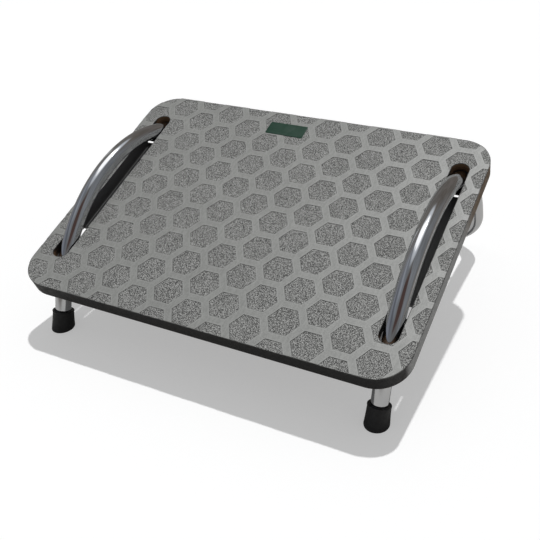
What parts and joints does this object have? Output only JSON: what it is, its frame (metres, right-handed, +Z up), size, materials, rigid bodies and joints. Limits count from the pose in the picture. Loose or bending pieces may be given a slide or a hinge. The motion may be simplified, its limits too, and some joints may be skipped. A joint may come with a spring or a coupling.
{
  "type": "tilting under desk footrest",
  "caption": "Tilting footrest: an anti-slip plywood footboard that slides round chromed tube arches on a floor frame with rubber feet.",
  "frame": {"origin": "on the floor, under the middle of the whole object", "axes": "+X to the user's right, +Y away from the user, +Z up; the board's low edge is at -Y"},
  "size_m": [0.45, 0.4066, 0.1851],
  "materials": {
    "chromed_tube": "polished chrome plating",
    "zinc_steel": "zinc plated",
    "black_screw": "black oxide",
    "black_rubber": "moulded, satin",
    "plywood": "edges sealed dark brown",
    "grey_film": "rough hexagon fields in a smooth satin net",
    "dark_film": "smooth phenolic film",
    "green_label": "plain satin film",
    "black_strip": "satin",
    "brake_plastic": "natural acetal",
    "black_nylon": "fine matt"
  },
  "bodies": {
    "frame": {"arch_tube_left": "chromed_tube", "arch_tube_right": "chromed_tube", "joint_spigot": "zinc_steel", "joint_screws": "black_screw", "front_foot_left": "black_rubber", "front_foot_right": "black_rubber", "foot_washers": "zinc_steel", "rear_pad_left": "black_rubber", "rear_pad_right": "black_rubber", "stop_screws": "black_screw"},
    "footboard": {"board_core": "plywood", "top_film": "grey_film", "bottom_film": "dark_film", "label": "green_label", "slot_strip_left": "black_strip", "slot_strip_right": "black_strip", "strip_screws": "zinc_steel", "guide_front_left_inner": "black_nylon", "guide_front_left_outer": "black_nylon", "guide_front_right_inner": "black_nylon", "guide_front_right_outer": "black_nylon", "guide_rear_left_inner": "black_nylon", "guide_rear_left_outer": "black_nylon", "guide_rear_right_inner": "black_nylon", "guide_rear_right_outer": "black_nylon", "guide_screws": "zinc_steel", "brake_pads": "brake_plastic", "brake_screws": "black_screw"}
  },
  "joints": [
    {"name": "board_tilt", "type": "hinge", "parent": "frame", "child": "footboard", "pos_m": [0, 0.00393, -0.01597], "axis": [1, 0, 0], "range_deg": [-20, 4]}
  ]
}
